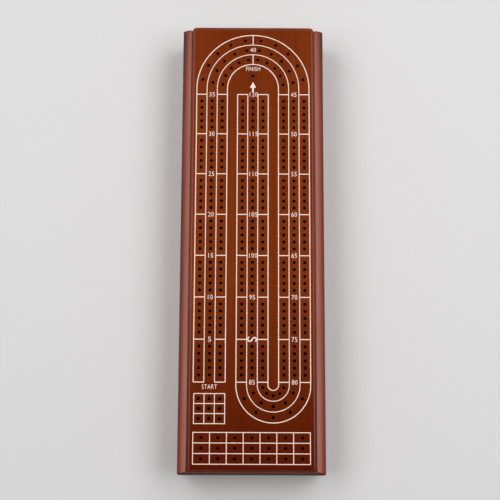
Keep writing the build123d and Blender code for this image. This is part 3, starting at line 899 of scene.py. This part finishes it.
# ---- felts in the wells -------------------------------------------------------------------
# Six pieces of the same green felt, cut to the wells and glued on the drawer's floor, so that
# pegs don't rattle and cards don't scuff.
well_floor = 10.3
well_felt_top = 11.1
felt_margin = 0.3
peg_well_half = 29.5333 / 2
peg_well_step = 32.5333
drawer_half = 47.3
well_cloth = felt("well_felt_green", felt_green)
peg_ends = (119.5, 181.5)
wells = {
    "left_peg_felt": ("peg_well_felts", -peg_well_step, peg_well_half, peg_ends),
    "middle_peg_felt": ("peg_well_felts", 0, peg_well_half, peg_ends),
    "right_peg_felt": ("peg_well_felts", peg_well_step, peg_well_half, peg_ends),
    "front_card_felt": ("card_well_felts", 0, drawer_half, (49.5, 115.5)),
    "middle_card_felt": ("card_well_felts", 0, drawer_half, (-20.5, 45.5)),
    "rear_felt": ("rear_well_felt", 0, drawer_half, (-167.9, -24.5)),
}
for seed, (name, (node, middle, half, (near, far))) in enumerate(wells.items()):
    low = (middle - half + felt_margin, near + felt_margin, well_floor)
    high = (middle + half - felt_margin, far - felt_margin, well_felt_top)
    sheet = felt_sheet(name, low, high, 0.4, well_cloth, "drawer", seed)
    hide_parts(node)


# ---- knob ---------------------------------------------------------------------------------
# A small turned brass knob, polished and lacquered, held by one slotted screw from inside the
# drawer's front.
turn_steps = 64
brass_colour = (214, 170, 92)


def turned(profile, steps=turn_steps):
    """A turned solid: each radius and height of the profile carried round a circle. Its ends are
    closed by the profile's own points on the axis."""
    profile = np.asarray(profile, float)
    angle = np.linspace(0, 2 * math.pi, steps, endpoint=False)
    ring = np.stack([np.cos(angle), np.sin(angle)], -1)
    body = profile[1:-1]
    points = np.concatenate([raised(radius * ring, height) for radius, height in body])
    faces = ring_faces(len(body), steps)
    tip = len(points)
    points = np.concatenate([points, [(0, 0, profile[0][1]), (0, 0, profile[-1][1])]])
    last = steps * (len(body) - 1)
    for number in range(steps):
        following = (number + 1) % steps
        faces.append([tip, following, number])
        faces.append([tip + 1, last + number, last + following])
    return points, faces


def metal(name, colour, rough):
    """Turned and polished metal, slightly uneven in tone and gloss."""
    material, tree, shader = new_material(name)
    place = grain_place(tree, "y", (0, 0, 0))
    cloud = level(tree, streaks(tree, place, 350, 350, 4), 0.3, 0.7)
    tone = blend(tree, cloud, linear([0.9 * c for c in colour]), linear(colour))
    tree.links.new(tone, shader.inputs["Base Color"])
    tree.links.new(level(tree, cloud, 0, 1, rough, rough + 0.05), shader.inputs["Roughness"])
    shader.inputs["Metallic"].default_value = 1.0
    return material


def arc_points(centre, radius, first, last, steps):
    """Points on a circle in the profile's plane, between two angles in degrees."""
    angle = np.radians(np.linspace(first, last, steps))
    return [(centre[0] + radius * math.cos(a), centre[1] + radius * math.sin(a)) for a in angle]


knob_radius = 5.0
knob_length = 8.0
knob_height = 21.5               # of its axis above the table
knob_rise = 2.4
knob_dome = (knob_radius ** 2 + knob_rise ** 2) / (2 * knob_rise)
knob_span = math.degrees(math.asin(knob_radius / knob_dome))
waist_turn = np.linspace(0, 1, 14)
waist = [(4.2 - 1.5 * math.sin(math.pi * t) ** 0.8 + 0.8 * t, 0.8 + 4.0 * t) for t in waist_turn]
knob_profile = [(0, 0), (3.9, 0), (4.2, 0.2), (4.2, 0.6), (4.1, 0.75), *waist[1:-1],
                (4.9, 4.75), (knob_radius, 4.9), (knob_radius, 5.5)]
dome_centre = (0, knob_length - knob_dome)
knob_profile += arc_points(dome_centre, knob_dome, 90 - knob_span + 1.5, 89.5, 14)
knob_profile.append((0, knob_length))
knob_points, knob_faces = turned(knob_profile)
across, upward, outward = knob_points.T
knob_points = np.stack([across, far_y + outward, knob_height - upward], -1)
brass = metal("knob_brass", brass_colour, 0.16)
knob = make_piece("turned_knob", knob_points, knob_faces, "drawer", brass, "knob_brass",
                  sharp=35)
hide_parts("drawer_knob")
dress("knob_screw", zinc)


# ---- pegs ---------------------------------------------------------------------------------
# Nine turned metal pegs in three finishes, three for each player: brass, nickel and black. Each
# has a tapered shank, a collar, a neck and a ball head, and lies loose on the felt of its well.
peg_length = 31.0
peg_head = 2.3                   # radius of the ball
peg_neck = 1.4
peg_shank = 1.1                  # radius near the tip, where the peg touches the felt
peg_rest = 0.5                   # how far from the tip it touches
peg_gap = 0.05
peg_tip_y = 135.0
peg_pitch = 7.0
peg_ball = peg_length - peg_head
neck_turn = math.degrees(math.acos(peg_neck / peg_head))
peg_profile = [(0, 0), (0.5, 0.02), (0.85, 0.15), (1.05, 0.35), (peg_shank, 0.6), (1.16, 8.0),
               (1.25, 20.4), (1.35, 20.5), (1.8, 20.5), (1.9, 20.6), (1.9, 21.0), (1.78, 21.15),
               (1.78, 21.45), (1.9, 21.6), (1.9, 22.0), (1.8, 22.1), (1.45, 22.15),
               (peg_neck, 22.4)]
peg_profile += arc_points((0, peg_ball), peg_head, -neck_turn, 88, 18)
peg_profile.append((0, peg_length))
peg_points, peg_faces = turned(peg_profile, 32)
peg_lean = math.asin((peg_head - peg_shank) / (peg_ball - peg_rest))
lean_cos, lean_sin = math.cos(peg_lean), math.sin(peg_lean)
peg_tip_z = well_felt_top + peg_gap + peg_shank * lean_cos - peg_rest * lean_sin
across, upward, outward = peg_points.T
peg_lying = np.stack([
    across,
    peg_tip_y + outward * lean_cos - upward * lean_sin,
    peg_tip_z + outward * lean_sin + upward * lean_cos,
], -1)


def lacquer(name, colour):
    """Black lacquer on metal, glossy, with faint smears."""
    material, tree, shader = new_material(name)
    place = grain_place(tree, "y", (0, 0, 0))
    smear = level(tree, streaks(tree, place, 260, 120, 4), 0.3, 0.7)
    tone = blend(tree, smear, linear(colour), linear([1.4 * c for c in colour]))
    tree.links.new(tone, shader.inputs["Base Color"])
    tree.links.new(level(tree, smear, 0, 1, 0.14, 0.26), shader.inputs["Roughness"])
    shader.inputs["Coat Weight"].default_value = 0.5
    shader.inputs["Coat Roughness"].default_value = 0.08
    return material


peg_sets = (
    ("brass_pegs", -1, metal("peg_brass", (218, 176, 98), 0.18), "peg_brass"),
    ("steel_pegs", 0, metal("peg_nickel", (196, 197, 200), 0.15), "peg_steel"),
    ("black_pegs", 1, lacquer("peg_black_lacquer", (26, 26, 29)), "peg_black"),
)
for node, side, finish, slot in peg_sets:
    shifts = [side * peg_well_step + peg_pitch * number for number in (-1, 0, 1)]
    three = gather([(peg_lying + (shift, 0, 0), peg_faces) for shift in shifts])
    piece = make_piece(node + "_turned", *three, "drawer", finish, slot, sharp=35)
    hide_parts(node)


# ---- table and studio light ---------------------------------------------------------------
# The box stands on a plain pale sheet. Wide soft lights hang to both sides of the camera and
# beyond the far end, so the shoulders shine and the shadow falls towards the near end.
paper_colour = (226, 225, 225)
sky_light = (0.3, 0.95, 0.44, 0.02)      # from and to in height, and the world's strength there
side_size = (1.3, 0.8)
side_aim = (0, 0.08, 0)
table_half = 5.0
table_corners = [(x * table_half, y * table_half, 0)
                 for x, y in ((-1, -1), (1, -1), (1, 1), (-1, 1))]
table_mesh = bpy.data.meshes.new("table")
table_mesh.from_pydata(table_corners, [], [(0, 1, 2, 3)])
table = bpy.data.objects.new("table", table_mesh)
bpy.context.scene.collection.objects.link(table)
paper, _, paper_shader = new_material("pale_paper")
paper_shader.inputs["Base Color"].default_value = linear(paper_colour)
paper_shader.inputs["Roughness"].default_value = 0.8
table_mesh.materials.append(paper)

world = bpy.data.worlds.new("studio")
world.use_nodes = True
bpy.context.scene.world = world
sky = world.node_tree
direction = put(sky, "TexCoord").outputs["Generated"]
steepness = put(sky, "SeparateXYZ", {"Vector": direction}).outputs["Z"]
sky.links.new(level(sky, steepness, *sky_light), sky.nodes["Background"].inputs["Strength"])
sky.nodes["Background"].inputs["Color"].default_value = (1, 1, 1, 1)


def soft_light(name, place, aim, size, power):
    """A wide soft light, turned to face a point."""
    lamp = bpy.data.lights.new(name, "AREA")
    lamp.shape = "RECTANGLE"
    lamp.size, lamp.size_y = size
    lamp.energy = power
    holder = bpy.data.objects.new(name, lamp)
    bpy.context.scene.collection.objects.link(holder)
    holder.location = place
    away = holder.location - Vector(aim)
    holder.rotation_euler = away.to_track_quat("Z", "Y").to_euler()


soft_light("left_light", (-0.75, 0.2, 1.25), side_aim, side_size, 9.8)
soft_light("right_light", (0.75, 0.2, 1.25), side_aim, side_size, 11.4)
soft_light("far_light", (0, 1.3, 1.2), (0, 0.05, 0), (1.4, 0.9), 2.6)
